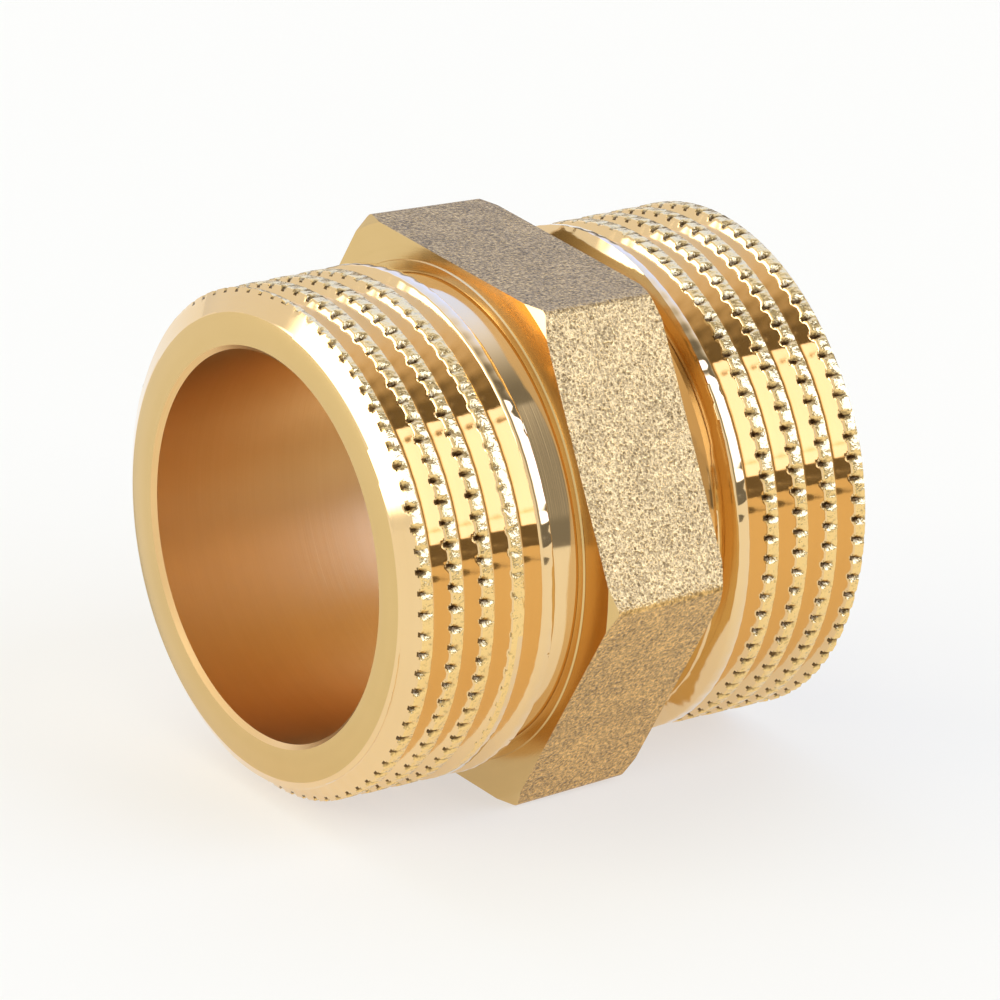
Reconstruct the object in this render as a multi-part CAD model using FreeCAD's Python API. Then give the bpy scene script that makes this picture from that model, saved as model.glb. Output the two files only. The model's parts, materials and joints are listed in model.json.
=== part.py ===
import FreeCAD, Part
import math
import os

# Brass hex nipple: a forged hexagon between two machined male pipe-thread ends, with a
# plain bore straight through. Millimetres. The bore's axis is X, the origin is on it at
# mid-length, and the nipple lies on one flat of its hexagon with +Z up.
# The real nipple is one piece. It is written as three solids that meet face to face at
# the hexagon's two side faces.

# ---- driving dimensions ----
LENGTH = 36.0                 # end face to end face
WALL = 2.6                    # metal left between the thread's root and the bore
BORE_EDGE_BREAK = 0.3         # chamfer where the bore meets each end face

HEX_WIDTH = 9.1               # between the hexagon's side faces
HEX_STEP = 0.751              # hexagon across flats over the thread's diameter
HEX_DRAFT = 2.2               # degrees that each flat leans in towards the rear
HEX_CORNER_CUT = 0.8          # how far in from a corner the facing cone starts
HEX_FACING_ANGLE = 30.0       # degrees between the facing cone and the side face

THREAD_DIAMETER = 33.249      # over the crests, 1 inch parallel pipe thread
THREAD_PITCH = 2.309          # 11 turns to the inch
THREAD_ANGLE = 55.0           # between a groove's two flanks
CREST_FLAT = 0.8
ROOT_RADIUS = 0.15
RELIEF_LENGTH = 1.8           # smooth neck between the hexagon and the thread
RELIEF_WALL_ANGLE = 65.0      # slope of the neck's outer wall
RELIEF_CLEARANCE = 0.163      # the neck lies this far below the thread's root
END_CHAMFER_ANGLE = 30.0      # degrees between the lead-in cone and the end face
END_CHAMFER_CLEARANCE = 0.193 # the end face's rim lies this far below the root

# Where each thread's groove comes out through its end face, in degrees from +Y towards +Z.
FRONT_THREAD_EXIT = 156.5
REAR_THREAD_EXIT = 173.6

# ---- derived dimensions ----
END_LENGTH = (LENGTH - HEX_WIDTH) / 2
CREST_RADIUS = THREAD_DIAMETER / 2
FLANK_SLOPE = math.tan(math.radians(THREAD_ANGLE / 2))
FLANK_SINE = math.sin(math.radians(THREAD_ANGLE / 2))
GROOVE_HALF_WIDTH = (THREAD_PITCH - CREST_FLAT) / 2
APEX_DEPTH = GROOVE_HALF_WIDTH / FLANK_SLOPE
ROOT_DEPTH = APEX_DEPTH - ROOT_RADIUS * (1 / FLANK_SINE - 1)
THREAD_ROOT = CREST_RADIUS - ROOT_DEPTH
BORE_RADIUS = THREAD_ROOT - WALL
HEX_ACROSS_FLATS = THREAD_DIAMETER + HEX_STEP   # at the front side face, the larger one
NECK_RADIUS = THREAD_ROOT - RELIEF_CLEARANCE
RIM_RADIUS = THREAD_ROOT - END_CHAMFER_CLEARANCE
CUTTER_OVERSHOOT = CREST_FLAT / FLANK_SLOPE / 4

X_AXIS = FreeCAD.Vector(1, 0, 0)
Y_AXIS = FreeCAD.Vector(0, 1, 0)
Z_AXIS = FreeCAD.Vector(0, 0, 1)
ORIGIN = FreeCAD.Vector(0, 0, 0)


def revolved(outline, axis):
    """Solid turned about an axis through the origin, from a closed list of corners."""
    face = Part.Face(Part.makePolygon(outline + outline[:1]))
    return face.revolve(ORIGIN, axis, 360)


def hexagon_wire(x, across_flats):
    """Hexagon across the X axis, with a flat facing +Z and a flat facing -Z."""
    corner = across_flats / 2 / math.cos(math.radians(30))
    corners = []
    for step in range(6):
        angle = math.radians(60 * step)
        corners.append(FreeCAD.Vector(x, corner * math.cos(angle), corner * math.sin(angle)))
    return Part.makePolygon(corners + corners[:1])


def facing_envelope(front_corner, rear_corner):
    """Turned blank that cuts the hexagon's corners with a cone at each side face."""
    half = HEX_WIDTH / 2
    front_rim = front_corner - HEX_CORNER_CUT
    rear_rim = rear_corner - HEX_CORNER_CUT
    outside = front_corner + HEX_CORNER_CUT
    cone = math.tan(math.radians(HEX_FACING_ANGLE))
    outline = [
        FreeCAD.Vector(-half, 0, 0),
        FreeCAD.Vector(-half, front_rim, 0),
        FreeCAD.Vector(-half + (outside - front_rim) * cone, outside, 0),
        FreeCAD.Vector(half - (outside - rear_rim) * cone, outside, 0),
        FreeCAD.Vector(half, rear_rim, 0),
        FreeCAD.Vector(half, 0, 0),
    ]
    return revolved(outline, X_AXIS)


def hex_body():
    """Forged hexagon with drafted flats, faced on both sides and bored through."""
    half = HEX_WIDTH / 2
    rear_across_flats = HEX_ACROSS_FLATS - 2 * HEX_WIDTH * math.tan(math.radians(HEX_DRAFT))
    corner_ratio = 1 / math.cos(math.radians(30))
    prism = Part.makeLoft(
        [hexagon_wire(-half, HEX_ACROSS_FLATS), hexagon_wire(half, rear_across_flats)], True, True)
    faced = prism.common(facing_envelope(HEX_ACROSS_FLATS / 2 * corner_ratio,
                                         rear_across_flats / 2 * corner_ratio))
    bore = Part.makeCylinder(BORE_RADIUS, HEX_WIDTH, FreeCAD.Vector(-half, 0, 0), X_AXIS)
    return faced.cut(bore)


def end_blank():
    """Turned tube from the hexagon's side face (z = 0) out to the end face, unthreaded."""
    chamfer = (CREST_RADIUS - RIM_RADIUS) * math.tan(math.radians(END_CHAMFER_ANGLE))
    neck_wall = (CREST_RADIUS - NECK_RADIUS) / math.tan(math.radians(RELIEF_WALL_ANGLE))
    outline = [
        FreeCAD.Vector(BORE_RADIUS, 0, 0),
        FreeCAD.Vector(NECK_RADIUS, 0, 0),
        FreeCAD.Vector(NECK_RADIUS, 0, RELIEF_LENGTH),
        FreeCAD.Vector(CREST_RADIUS, 0, RELIEF_LENGTH + neck_wall),
        FreeCAD.Vector(CREST_RADIUS, 0, END_LENGTH - chamfer),
        FreeCAD.Vector(RIM_RADIUS, 0, END_LENGTH),
        FreeCAD.Vector(BORE_RADIUS + BORE_EDGE_BREAK, 0, END_LENGTH),
        FreeCAD.Vector(BORE_RADIUS, 0, END_LENGTH - BORE_EDGE_BREAK),
    ]
    return revolved(outline, Z_AXIS)


def groove_profile(z):
    """Section of the thread groove, with a round root and straight flanks."""
    tangent = ROOT_RADIUS * (1 / FLANK_SINE - FLANK_SINE)
    tangent_half = tangent * FLANK_SLOPE
    apex = CREST_RADIUS - APEX_DEPTH
    top = CREST_RADIUS + CUTTER_OVERSHOOT
    top_half = GROOVE_HALF_WIDTH + CUTTER_OVERSHOOT * FLANK_SLOPE
    low_left = FreeCAD.Vector(apex + tangent, 0, z - tangent_half)
    low_right = FreeCAD.Vector(apex + tangent, 0, z + tangent_half)
    root = FreeCAD.Vector(THREAD_ROOT, 0, z)
    high_left = FreeCAD.Vector(top, 0, z - top_half)
    high_right = FreeCAD.Vector(top, 0, z + top_half)
    return Part.Wire([
        Part.LineSegment(high_left, low_left).toShape(),
        Part.Arc(low_left, root, low_right).toShape(),
        Part.LineSegment(low_right, high_right).toShape(),
        Part.LineSegment(high_right, high_left).toShape(),
    ])


def groove_cutter(exit_angle):
    """Right-hand helical cutter that starts over the neck and leaves through the end face."""
    start = RELIEF_LENGTH * 0.45
    turns_to_end = (END_LENGTH - start) / THREAD_PITCH
    path = []
    for turn in range(math.ceil(turns_to_end + 0.5)):
        helix = Part.makeHelix(THREAD_PITCH, THREAD_PITCH, CREST_RADIUS)
        helix.translate(FreeCAD.Vector(0, 0, start + turn * THREAD_PITCH))
        path += helix.Edges
    cutter = Part.Wire(path).makePipeShell([groove_profile(start)], True, True)
    cutter.rotate(ORIGIN, Z_AXIS, exit_angle - 360 * turns_to_end)
    return cutter


def threaded_end(exit_angle):
    """One male end, built upwards along +Z from the hexagon's side face."""
    return end_blank().cut(groove_cutter(exit_angle))


def front_threaded_end():
    """Male end that points along -X."""
    solid = threaded_end(90 - FRONT_THREAD_EXIT)
    solid.rotate(ORIGIN, Y_AXIS, -90)
    solid.translate(FreeCAD.Vector(-HEX_WIDTH / 2, 0, 0))
    return solid


def rear_threaded_end():
    """Male end that points along +X."""
    solid = threaded_end(90 + REAR_THREAD_EXIT)
    solid.rotate(ORIGIN, Y_AXIS, 90)
    solid.translate(FreeCAD.Vector(HEX_WIDTH / 2, 0, 0))
    return solid


SUBPARTS = {
    "hex_body": hex_body,
    "front_threaded_end": front_threaded_end,
    "rear_threaded_end": rear_threaded_end,
}

os.makedirs("parts", exist_ok=True)
for node, make in SUBPARTS.items():
    solid = make()
    if len(solid.Solids) != 1 or not solid.isValid():
        raise RuntimeError(node + " is not one valid solid")
    solid.Solids[0].exportStep("parts/" + node + ".step")
    box = solid.optimalBoundingBox()
    print(node, round(solid.Volume, 1), "mm3", box)
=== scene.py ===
import json
import math
import random
import bmesh
import bpy
from mathutils import Matrix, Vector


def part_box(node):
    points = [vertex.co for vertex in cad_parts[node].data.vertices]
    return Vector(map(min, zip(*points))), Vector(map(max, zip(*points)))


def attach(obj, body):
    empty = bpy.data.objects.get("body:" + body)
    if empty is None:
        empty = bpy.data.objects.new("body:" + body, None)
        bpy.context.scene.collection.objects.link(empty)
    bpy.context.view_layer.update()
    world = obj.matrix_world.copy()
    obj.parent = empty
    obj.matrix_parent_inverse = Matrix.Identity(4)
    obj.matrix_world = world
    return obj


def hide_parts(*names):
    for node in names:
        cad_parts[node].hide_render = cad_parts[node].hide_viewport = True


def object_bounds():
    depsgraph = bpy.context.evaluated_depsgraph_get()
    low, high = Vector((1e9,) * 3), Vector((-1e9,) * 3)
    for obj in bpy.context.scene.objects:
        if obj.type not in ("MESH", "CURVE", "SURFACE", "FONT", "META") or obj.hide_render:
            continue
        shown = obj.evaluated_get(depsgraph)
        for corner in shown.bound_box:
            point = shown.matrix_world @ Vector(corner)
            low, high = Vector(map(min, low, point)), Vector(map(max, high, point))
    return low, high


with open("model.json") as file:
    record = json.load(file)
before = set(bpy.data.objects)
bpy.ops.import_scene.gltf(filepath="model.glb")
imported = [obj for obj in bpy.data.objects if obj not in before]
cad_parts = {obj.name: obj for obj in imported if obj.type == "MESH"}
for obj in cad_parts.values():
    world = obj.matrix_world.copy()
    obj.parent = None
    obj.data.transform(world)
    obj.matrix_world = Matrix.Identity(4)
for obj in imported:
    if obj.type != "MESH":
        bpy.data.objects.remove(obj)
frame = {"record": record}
scene = bpy.context.scene
cad_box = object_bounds()

# ---- Camera ----
# A long lens looks down at the front end face, with the nipple's bore running away to
# the right. It leans a little, so that the nipple seems to tip down to the right.
AZIMUTH = math.radians(-35.93)
ELEVATION = math.radians(22.11)
LEAN = math.radians(3.15)
CAMERA_DISTANCE = 0.698
AIM_RIGHT = 0.00023
AIM_UP = -0.00014

camera = bpy.data.objects.new("camera", bpy.data.cameras.new("camera"))
camera.data.lens = 391.2
camera.data.sensor_width = 36.0
camera.data.clip_end = 20.0
camera.matrix_world = (
    Matrix.Rotation(AZIMUTH, 4, "Z")
    @ Matrix.Rotation(math.pi / 2 - ELEVATION, 4, "X")
    @ Matrix.Rotation(LEAN, 4, "Z")
    @ Matrix.Translation((AIM_RIGHT, AIM_UP, CAMERA_DISTANCE)))
scene.collection.objects.link(camera)
scene.camera = camera

# ---- Front threaded end ----
# The near male end. It is turned from the forging, knurled with straight notches that
# hold hemp or tape, and then threaded; a lead-in cone and the flat end face finish it.
PITCH = 0.002309
FLANK = math.radians(27.5)
CREST_FLAT = 0.0008
ROOT_RADIUS = 0.00015
CREST_ROUND = 0.00006
NECK_LENGTH = 0.0018
NECK_DROP = 0.000163
NECK_TAPER = math.radians(12)
NECK_WALL = math.radians(65)
RIM_DROP = 0.000193
LEAD_IN = math.radians(30)
BORE_BREAK = 0.0003
NOTCHES = 76
STEPS_PER_NOTCH = 8
NOTCH_DEPTH = 0.00034
NOTCH_HALF_WIDTH = 0.00034
SHALLOWEST_NOTCH = 0.15
FRONT_KNURL = (0.0050, 0.0016, 0.70)
FRONT_EXIT = math.radians(156.5)
BORE = next(m for m in frame["record"]["mounts"] if m["name"] == "bore")["dims"]["r_mm"] / 1000


def tooth_outline(crest):
    """Axial offset and radius of points from one groove's root to the next one's."""
    half_groove = (PITCH - CREST_FLAT) / 2
    root_centre = crest - half_groove / math.tan(FLANK) + ROOT_RADIUS / math.sin(FLANK)
    half = []
    for degrees in (0, 31, 62.5):
        turn = math.radians(degrees)
        half.append((ROOT_RADIUS * math.sin(turn), root_centre - ROOT_RADIUS * math.cos(turn)))
    corner = []
    centre_x = half_groove + CREST_ROUND * math.tan((math.pi / 2 - FLANK) / 2)
    for degrees in (27.5, 90):
        turn = math.radians(degrees)
        corner.append((centre_x - CREST_ROUND * math.cos(turn),
                       crest - CREST_ROUND + CREST_ROUND * math.sin(turn)))
    low, high = half[-1], corner[0]
    for share in (0.4, 0.62, 0.75, 0.88):
        half.append((low[0] + (high[0] - low[0]) * share, low[1] + (high[1] - low[1]) * share))
    half += corner
    half.append((PITCH / 2, crest))
    return half + [(PITCH - x, r) for x, r in reversed(half[:-1])]


def ring(bm, edges, x, radius):
    """Extrude a closed loop of edges to a circle about the X axis and return the new loop."""
    new = bmesh.ops.extrude_edge_only(bm, edges=edges)["geom"]
    for vert in new:
        if isinstance(vert, bmesh.types.BMVert):
            scale = radius / math.hypot(vert.co.y, vert.co.z)
            vert.co = (x, vert.co.y * scale, vert.co.z * scale)
    return [item for item in new if isinstance(item, bmesh.types.BMEdge)]


def rim_at(bm, x):
    """Open edges of the shell that lie in the plane at x."""
    near = 1e-6
    return [e for e in bm.edges if e.is_boundary and all(abs(v.co.x - x) < near for v in e.verts)]


def cut(bm, x, **clear):
    """Cut a ring of edges at x, or trim away what lies past it."""
    near = [f for f in bm.faces if abs(f.verts[0].co.x - x) < 2.5 * PITCH]
    parts = set(near)
    for face in near:
        parts.update(face.edges, face.verts)
    bmesh.ops.bisect_plane(bm, geom=list(parts), dist=1e-7, plane_co=(x, 0, 0),
                           plane_no=(1, 0, 0), **clear)


def finished(bm, name, sharp):
    """Make an object of the mesh, smooth-shaded but for edges sharper than the given angle."""
    bmesh.ops.recalc_face_normals(bm, faces=bm.faces)
    mesh = bpy.data.meshes.new(name)
    bm.to_mesh(mesh)
    bm.free()
    mesh.shade_smooth()
    mesh.set_sharp_from_angle(angle=math.radians(sharp))
    piece = bpy.data.objects.new(name, mesh)
    scene.collection.objects.link(piece)
    return piece


def threaded_end(name, node, outward, exit_angle, knurl, seed):
    """Male end built along +X from the hexagon's side face, then turned to face outward."""
    knurl_start, knurl_fade, evenness = knurl
    low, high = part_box(node)
    length = high[0] - low[0]
    crest = high[2]
    outline = tooth_outline(crest)
    root = outline[0][1]
    neck = root - NECK_DROP
    rim = root - RIM_DROP
    lead_in = (crest - rim) * math.tan(LEAD_IN)
    neck_wall = (crest - neck) / math.tan(NECK_WALL)

    # The tooth's outline, repeated along the axis and spun once along the helix.
    bm = bmesh.new()
    first = length - PITCH * (exit_angle / math.tau - 0.25)
    first -= PITCH * math.ceil((first + PITCH) / PITCH)
    start = first
    last = None
    while first < length:
        for x, radius in outline[:-1]:
            vert = bm.verts.new((first + x, 0, radius))
            if last:
                bm.edges.new((last, vert))
            last = vert
        first += PITCH
    bmesh.ops.spin(bm, geom=bm.verts[:] + bm.edges[:], cent=(0, 0, 0), axis=(1, 0, 0),
                   dvec=(PITCH / NOTCHES, 0, 0), angle=math.tau, steps=NOTCHES, use_merge=False)
    bmesh.ops.remove_doubles(bm, verts=bm.verts, dist=1e-5)
    half = math.pi / NOTCHES
    around = [e for e in bm.edges if e.verts[0].co.yz.angle(e.verts[1].co.yz) > half]
    bmesh.ops.subdivide_edges(bm, edges=around, cuts=STEPS_PER_NOTCH - 1, use_grid_fill=True)
    for vert in bm.verts:
        off = (math.atan2(vert.co.z, vert.co.y) + half) % (2 * half) - half
        vert.co.yz = vert.co.yz * (math.cos(off) / math.cos(half))

    # Cut rings where the turned blank changes slope, and trim at both faces.
    cuts = [NECK_LENGTH + neck_wall * share for share in (0, 0.25, 0.5, 0.75, 1)]
    cuts += [length - lead_in * share for share in (0.2, 0.4, 0.6, 0.8, 1)]
    for x in cuts:
        cut(bm, x)
    cut(bm, 0, clear_inner=True)
    cut(bm, length, clear_outer=True)

    # Press the notches into the crests, deeper at the edge that faces the front end face,
    # and turn the neck and the lead-in cone.
    chance = random.Random(seed)
    bite = [[chance.uniform(evenness, 1.1) for _ in range(8)] for _ in range(NOTCHES)]
    for vert in bm.verts:
        x = vert.co.x
        radius = math.hypot(vert.co.y, vert.co.z)
        turn = math.atan2(vert.co.z, vert.co.y) / math.tau * NOTCHES
        notch = round(turn)
        away = abs(turn - notch) / NOTCHES * math.tau * crest
        knurled = min(1.0, max(0.0, (x - knurl_start) / knurl_fade))
        from_helix = x - start - PITCH * math.atan2(-vert.co.y, vert.co.z) / math.tau
        off_crest = (from_helix % PITCH - PITCH / 2) / (CREST_FLAT / 2)
        knurled *= min(1.0, max(SHALLOWEST_NOTCH, 0.6 - 0.5 * outward * off_crest))
        if away < NOTCH_HALF_WIDTH and knurled:
            depth = NOTCH_DEPTH * bite[notch % NOTCHES][int(x / PITCH) % 8] * knurled
            floor = crest - depth * (1 - away / NOTCH_HALF_WIDTH)
            radius = min(radius, floor)
        if x < NECK_LENGTH:
            radius = neck + (NECK_LENGTH - x) * math.tan(NECK_TAPER)
        elif x < NECK_LENGTH + neck_wall:
            radius = min(radius, neck + (x - NECK_LENGTH) * math.tan(NECK_WALL))
        if x > length - lead_in:
            radius = min(radius, crest - (x - length + lead_in) / math.tan(LEAD_IN))
        scale = radius / math.hypot(vert.co.y, vert.co.z)
        vert.co.y *= scale
        vert.co.z *= scale

    # End face, broken inner edge and bore, closed at the hexagon's side face.
    edge = ring(bm, rim_at(bm, length), length, BORE + BORE_BREAK)
    edge = ring(bm, edge, length - BORE_BREAK, BORE)
    for share in (0.75, 0.5, 0.25):
        edge = ring(bm, edge, length * share, BORE)
    edge = ring(bm, edge, 0, BORE)
    outer = [e for e in rim_at(bm, 0) if e not in set(edge)]
    ring(bm, outer, 0, BORE)
    bmesh.ops.remove_doubles(bm, verts=[v for v in bm.verts if v.is_boundary], dist=1e-6)

    if outward < 0:
        bmesh.ops.rotate(bm, verts=bm.verts, cent=(0, 0, 0), matrix=Matrix.Rotation(math.pi, 3, "Z"))
        shoulder = high[0]
    else:
        shoulder = low[0]
    bmesh.ops.translate(bm, verts=bm.verts, vec=(shoulder, 0, 0))
    piece = finished(bm, name, 32)
    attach(piece, "root")
    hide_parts(node)
    return piece


class Wire:
    """An output of a shader tree. Python sums on wires become Math nodes."""

    def __init__(self, tree, socket=None):
        self.tree = tree
        self.socket = socket

    def make(self, kind, settings, inputs, output=0):
        node = self.tree.nodes.new(kind)
        for key, value in settings.items():
            setattr(node, key, value)
        for key, value in inputs.items():
            if isinstance(value, Wire):
                self.tree.links.new(value.socket, node.inputs[key])
            else:
                node.inputs[key].default_value = value
        return Wire(self.tree, node.outputs[output] if node.outputs else None)

    def sum(self, operation, *values):
        return self.make("ShaderNodeMath", {"operation": operation}, dict(enumerate(values)))

    def __add__(self, other):
        return self.sum("ADD", self, other)

    def __radd__(self, other):
        return self.sum("ADD", other, self)

    def __sub__(self, other):
        return self.sum("SUBTRACT", self, other)

    def __rsub__(self, other):
        return self.sum("SUBTRACT", other, self)

    def __mul__(self, other):
        return self.sum("MULTIPLY", self, other)

    def __rmul__(self, other):
        return self.sum("MULTIPLY", other, self)

    def __truediv__(self, other):
        return self.sum("DIVIDE", self, other)

    def __pow__(self, other):
        return self.sum("POWER", self, other)


def lathe_coordinates(wires):
    """Place along the axis, radius, and direction round the axis, for turned surfaces."""
    place = wires.make("ShaderNodeTexCoord", {}, {}, "Object")
    x = wires.make("ShaderNodeSeparateXYZ", {}, {0: place}, 0)
    y = wires.make("ShaderNodeSeparateXYZ", {}, {0: place}, 1)
    z = wires.make("ShaderNodeSeparateXYZ", {}, {0: place}, 2)
    radius = (y * y + z * z) ** 0.5
    return place, x, radius, y / radius, z / radius


def machined_brass(name, light_tint, dark_tint, smoothness, line_depth, sheen):
    """Bright turned brass with fine lines that follow the tool round the axis."""
    material = bpy.data.materials.new(name)
    material.use_nodes = True
    tree = material.node_tree
    tree.nodes.clear()
    wires = Wire(tree)
    place, x, radius, across, up = lathe_coordinates(wires)
    lines = wires.make("ShaderNodeCombineXYZ", {}, {0: x * 14000.0, 1: across * 1.5, 2: up * 1.5})
    fine = wires.make("ShaderNodeTexNoise", {"noise_dimensions": "4D"},
                      {"Vector": lines, "W": radius * 14000.0, "Scale": 1.0, "Detail": 2.0}, 0)
    broad = wires.make("ShaderNodeTexNoise", {"noise_dimensions": "4D"},
                       {"Vector": lines, "W": radius * 14000.0, "Scale": 0.2, "Detail": 2.0}, 0)
    cloud = wires.make("ShaderNodeTexNoise", {}, {"Vector": place, "Scale": 260.0, "Detail": 3.0}, 0)
    bump = wires.make("ShaderNodeBump", {}, {"Height": fine * 0.6 + broad * 0.8, "Strength": 0.5,
                                             "Distance": line_depth})
    tint = wires.make("ShaderNodeMix", {"data_type": "RGBA"},
                      {0: cloud * 0.6 + broad * 0.4, 6: light_tint, 7: dark_tint}, 2)
    shader = wires.make("ShaderNodeBsdfPrincipled", {}, {
        "Base Color": tint, "Metallic": 1.0, "Roughness": smoothness + broad * 0.06 + cloud * 0.04,
        "Coat Weight": sheen, "Coat Roughness": 0.05, "Normal": bump})
    wires.make("ShaderNodeOutputMaterial", {}, {"Surface": shader})
    return material


def pressed_brass(name):
    """Brass squeezed by the knurling wheel, rough, and darkened with painted shade where each notch is
    deep.
    """
    material = bpy.data.materials.new(name)
    material.use_nodes = True
    tree = material.node_tree
    tree.nodes.clear()
    wires = Wire(tree)
    place, x, radius, across, up = lathe_coordinates(wires)
    # Painted shade: the tint darkens towards the floor of each notch, more where the notch is deeper.
    notch_shade = wires.sum("MAXIMUM", (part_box("front_threaded_end")[1][2] - radius) / NOTCH_DEPTH - 0.15, 0.0)
    dents = wires.make("ShaderNodeTexNoise", {}, {"Vector": place, "Scale": 3800.0, "Detail": 2.0}, 0)
    bump = wires.make("ShaderNodeBump", {}, {"Height": dents, "Strength": 1.0, "Distance": 0.00006})
    tint = wires.make("ShaderNodeMix", {"data_type": "RGBA"},
                      {0: dents * 2.0 + 0.1 - notch_shade * 2.2,
                       6: (0.15, 0.085, 0.03, 1), 7: (0.96, 0.67, 0.27, 1)}, 2)
    shader = wires.make("ShaderNodeBsdfPrincipled", {}, {
        "Base Color": tint, "Metallic": 1.0, "Roughness": 0.10 + dents * 0.2, "Normal": bump})
    wires.make("ShaderNodeOutputMaterial", {}, {"Surface": shader})
    return material


def turned_finishes(piece, faced_at, knurl):
    """Give a piece the finishes of the tools that passed over it."""
    for finish in (threaded_brass, faced_brass, bored_brass, knurled_brass):
        piece.data.materials.append(finish)
    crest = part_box("front_threaded_end")[1][2]
    for face in piece.data.polygons:
        radius = math.hypot(face.center.y, face.center.z)
        outward = (face.normal.y * face.center.y + face.normal.z * face.center.z) / radius
        from_hexagon = abs(face.center.x) - faced_at[0]
        if radius < BORE + BORE_BREAK * 0.9:
            face.material_index = 2
        elif abs(abs(face.center.x) - faced_at[1]) < 1e-6:
            face.material_index = 1
        elif radius > crest - NOTCH_DEPTH * 1.1 and outward > 0.55 and from_hexagon > knurl[0]:
            face.material_index = 3


threaded_brass = machined_brass("threaded_brass", (0.90, 0.64, 0.31, 1), (0.84, 0.57, 0.26, 1),
                                0.03, 0.000004, 1.0)
faced_brass = machined_brass("faced_brass", (0.75, 0.53, 0.235, 1), (0.68, 0.47, 0.19, 1),
                             0.16, 0.000006, 0.0)
bored_brass = machined_brass("bored_brass", (0.86, 0.58, 0.27, 1), (0.78, 0.50, 0.21, 1),
                             0.26, 0.000010, 0.0)
knurled_brass = pressed_brass("knurled_brass")
shoulders = (-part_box("front_threaded_end")[1][0], -cad_box[0][0])
front_end = threaded_end("front_threaded_end_detailed", "front_threaded_end", -1,
                         math.pi - FRONT_EXIT, FRONT_KNURL, 3)
turned_finishes(front_end, shoulders, FRONT_KNURL)

# ---- Hexagon ----
# The wrench hexagon is hot-forged with drafted flats and rounded corners, grit-blasted,
# and then faced on both sides in the lathe, which leaves bright side faces and cones.
DRAFT = math.radians(2.2)
CORNER_CUT = 0.0008
FACING = math.radians(30)
CORNER_ROUND = 0.0006
ROW_UNDER_NECK = 0.0150
FACE_RING_RADIUS = 0.01625
FACE_RING_HEIGHT = 0.00012
FACE_RING_WIDTH = 0.0005
FACE_RING_INNER_EDGE = 0.00005
FACE_RING_OUTER_EDGE = 0.00006
HEX_STEPS = 720
ROWS_ON_FLAT = 14


def hexagon_radius(angle, across_flats):
    """Distance from the axis to a hexagon with flats facing up and down and rounded corners."""
    flat = across_flats / 2
    off = (angle % (math.pi / 3)) - math.pi / 6
    sharp = flat / math.cos(off)
    corner_centre = (flat - CORNER_ROUND) / math.cos(math.pi / 6)
    off_corner = math.pi / 6 - abs(off)
    side = corner_centre * math.sin(off_corner)
    if side < CORNER_ROUND * 0.5:
        reach = math.sqrt(CORNER_ROUND ** 2 - side ** 2)
        return min(sharp, corner_centre * math.cos(off_corner) + reach)
    return sharp


def hexagon():
    """The hexagon as rows of points round the axis, out over one side and back over the other."""
    low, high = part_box("hex_body")
    half = high[0]
    front_flats = 2 * high[2]
    rear_flats = front_flats - 4 * half * math.tan(DRAFT)
    front_rim = front_flats / 2 / math.cos(math.pi / 6) - CORNER_CUT
    rear_rim = rear_flats / 2 / math.cos(math.pi / 6) - CORNER_CUT

    def side_rows(side, rim, flats):
        """Rows from the turned ring out to where the facing cone meets the flats."""
        inside = FACE_RING_RADIUS - FACE_RING_WIDTH
        outside = FACE_RING_RADIUS + FACE_RING_OUTER_EDGE
        rows = [lambda a: (side * half, BORE)]
        for radius, proud in ((ROW_UNDER_NECK, 0), (inside - FACE_RING_INNER_EDGE, 0),
                              (inside, FACE_RING_HEIGHT), (FACE_RING_RADIUS, FACE_RING_HEIGHT),
                              (outside, 0)):
            rows.append(lambda a, r=radius, p=proud: (side * (half + p), r))
        for share in (0.5, 1.0):
            rows.append(lambda a, s=share: (
                side * half, outside + s * (min(rim, hexagon_radius(a, flats)) - outside)))
        for share in (0.25, 0.5, 0.75, 1.0):
            def cone(a, s=share):
                # The flats lean, so where the cone meets them is closed in on step by step.
                start = min(rim, hexagon_radius(a, flats))
                x = side * half
                for _ in range(6):
                    reach = hexagon_radius(a, front_flats - 2 * (x + half) * math.tan(DRAFT))
                    x = side * (half - max(0.0, reach - rim) * math.tan(FACING))
                return side * half + (x - side * half) * s, start + (reach - start) * s
            rows.append(cone)
        return rows

    front = side_rows(-1, front_rim, front_flats)
    rear = side_rows(1, rear_rim, rear_flats)
    front_edge, rear_edge = front[-1], rear[-1]

    def flat_row(share):
        """Row across the flats, at a share of the way from the front cone to the rear one."""
        def place(a):
            x = front_edge(a)[0] * (1 - share) + rear_edge(a)[0] * share
            return x, hexagon_radius(a, front_flats - 2 * (x + half) * math.tan(DRAFT))
        return place

    rows = front + [flat_row(k / ROWS_ON_FLAT) for k in range(1, ROWS_ON_FLAT)] + rear[::-1]
    bm = bmesh.new()
    circle = bmesh.ops.create_circle(bm, segments=HEX_STEPS, radius=1.0)["verts"]
    bmesh.ops.rotate(bm, verts=circle, cent=(0, 0, 0), matrix=Matrix.Rotation(math.pi / 2, 3, "Y"))
    loop = bm.edges[:]
    for vert in circle:
        angle = math.atan2(vert.co.z, vert.co.y)
        x, radius = rows[0](angle)
        vert.co = (x, radius * math.cos(angle), radius * math.sin(angle))
    for row in rows[1:]:
        new = bmesh.ops.extrude_edge_only(bm, edges=loop)["geom"]
        for vert in new:
            if isinstance(vert, bmesh.types.BMVert):
                angle = math.atan2(vert.co.z, vert.co.y)
                x, radius = row(angle)
                vert.co = (x, radius * math.cos(angle), radius * math.sin(angle))
        loop = [item for item in new if isinstance(item, bmesh.types.BMEdge)]
    bmesh.ops.bridge_loops(bm, edges=loop + rim_at(bm, -half))
    bmesh.ops.remove_doubles(bm, verts=bm.verts, dist=1e-6)
    return finished(bm, "hexagon_detailed", 20)


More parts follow.
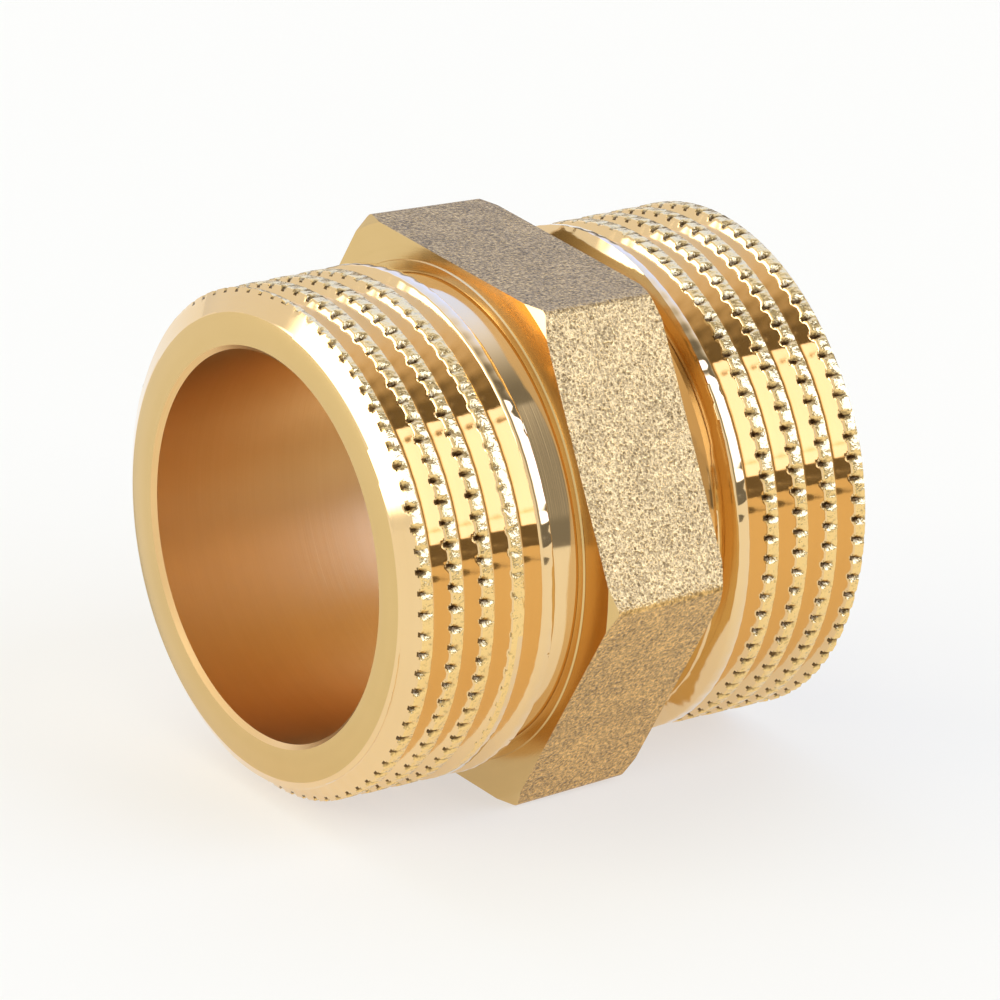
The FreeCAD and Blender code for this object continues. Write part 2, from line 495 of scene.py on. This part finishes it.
def blasted_brass(name):
    """Forged brass under a grit-blasted skin, whose dimples glint one by one."""
    material = bpy.data.materials.new(name)
    material.use_nodes = True
    tree = material.node_tree
    tree.nodes.clear()
    wires = Wire(tree)
    place = wires.make("ShaderNodeTexCoord", {}, {}, "Object")
    grain = wires.make("ShaderNodeTexNoise", {}, {"Vector": place, "Scale": 7000.0, "Detail": 2.0}, 0)
    pits = wires.make("ShaderNodeTexNoise", {}, {"Vector": place, "Scale": 4200.0, "Detail": 1.0}, 0)
    patches = wires.make("ShaderNodeTexNoise", {}, {"Vector": place, "Scale": 420.0, "Detail": 3.0}, 0)
    bump = wires.make("ShaderNodeBump", {}, {"Height": grain + pits * 0.6, "Strength": 1.0,
                                             "Distance": 0.00008})
    tint = wires.make("ShaderNodeMix", {"data_type": "RGBA"},
                      {0: grain * 1.5 + pits * 1.5 - 1.0 + (patches - 0.5) * 0.5,
                       6: (0.24, 0.14, 0.045, 1), 7: (0.98, 0.61, 0.21, 1)}, 2)
    shader = wires.make("ShaderNodeBsdfPrincipled", {}, {
        "Base Color": tint, "Metallic": 1.0, "Roughness": 0.18 + patches * 0.10, "Normal": bump})
    wires.make("ShaderNodeOutputMaterial", {}, {"Surface": shader})
    return material


hex_piece = hexagon()
hex_piece.data.materials.append(blasted_brass("blasted_brass"))
hex_piece.data.materials.append(faced_brass)
hex_piece.data.materials.append(bored_brass)
for face in hex_piece.data.polygons:
    if abs(face.normal.x) > 0.3:
        face.material_index = 1
    elif math.hypot(face.center.y, face.center.z) < BORE * 1.01:
        face.material_index = 2
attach(hex_piece, "root")
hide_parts("hex_body")

# ---- Rear threaded end ----
# The far male end is made as the front one is, in a second chucking, so its thread
# comes out through the end face at another place.
REAR_EXIT = math.radians(173.6)
REAR_KNURL = (0.0040, 0.0008, 0.85)
rear_end = threaded_end("rear_threaded_end_detailed", "rear_threaded_end", 1, REAR_EXIT,
                        REAR_KNURL, 11)
turned_finishes(rear_end, shoulders, REAR_KNURL)

# ---- Floor ----
# A plain pale studio surface that the nipple's hexagon lies on.
FLOOR_SIZE = 3.0
bm = bmesh.new()
bmesh.ops.create_grid(bm, x_segments=1, y_segments=1, size=FLOOR_SIZE / 2)
bmesh.ops.translate(bm, verts=bm.verts, vec=(0, 0, cad_box[0][2]))
floor_mesh = bpy.data.meshes.new("floor")
bm.to_mesh(floor_mesh)
bm.free()
floor = bpy.data.objects.new("floor", floor_mesh)
scene.collection.objects.link(floor)
paper = bpy.data.materials.new("paper")
paper.use_nodes = True
sheet = paper.node_tree.nodes["Principled BSDF"].inputs
sheet["Base Color"].default_value = (0.42, 0.38, 0.27, 1)
sheet["Roughness"].default_value = 0.9
sheet["Specular IOR Level"].default_value = 0.0
sheet["Emission Color"].default_value = (1.0, 1.0, 1.0, 1)
sheet["Emission Strength"].default_value = 0.56
floor.data.materials.append(paper)

# ---- Studio light ----
# A white tent with two long, cooler soft boxes that run along the nipple: a strong one in
# front and a weaker one above and behind. The gaps between them draw bands on the brass.
scene.view_settings.view_transform = "Standard"
world = bpy.data.worlds.new("studio")
world.use_nodes = True
scene.world = world
tree = world.node_tree
tree.nodes.clear()
wires = Wire(tree)
direction = wires.make("ShaderNodeTexCoord", {}, {}, "Generated")
along = wires.make("ShaderNodeSeparateXYZ", {}, {0: direction}, 0)
back = wires.make("ShaderNodeSeparateXYZ", {}, {0: direction}, 1)
height = wires.make("ShaderNodeSeparateXYZ", {}, {0: direction}, 2)
swing = back / (back * back + height * height) ** 0.5


def between(value, start, full, still_full, end):
    """0 before start and after end, and 1 between the two middle values."""
    rise = wires.make("ShaderNodeMapRange", {"interpolation_type": "SMOOTHSTEP"},
                      {"Value": value, "From Min": start, "From Max": full}, 0)
    fall = wires.make("ShaderNodeMapRange", {"interpolation_type": "SMOOTHSTEP"},
                      {"Value": value, "From Min": still_full, "From Max": end}, 0)
    return rise * (1 - fall)


front_box = between(swing, -0.985, -0.968, -0.44, -0.40) * between(along, 0.15, 0.35, 0.95, 1.0)
top_box = between(swing, -0.33, 0.66, 0.90, 1.0) * between(along, -0.3, -0.1, 0.85, 0.95)
left_box = between(along, -1.2, -1.1, -0.72, -0.62) * between(height, 0.02, 0.08, 0.45, 0.55)
left_box = left_box * between(back, -0.1, 0.0, 0.75, 0.85)
left_tent = between(along, -1.2, -1.1, -0.3, 0.25)
boxes = front_box + top_box
light = 0.19 + 0.70 * left_tent + 4.4 * front_box + 1.95 * top_box + 3.6 * left_box
colour = wires.make("ShaderNodeMix", {"data_type": "RGBA"},
                    {0: boxes, 6: (1, 1, 1, 1), 7: (0.40, 0.53, 1.0, 1)}, 2)
background = wires.make("ShaderNodeBackground", {}, {"Color": colour, "Strength": light})
wires.make("ShaderNodeOutputWorld", {}, {"Surface": background})
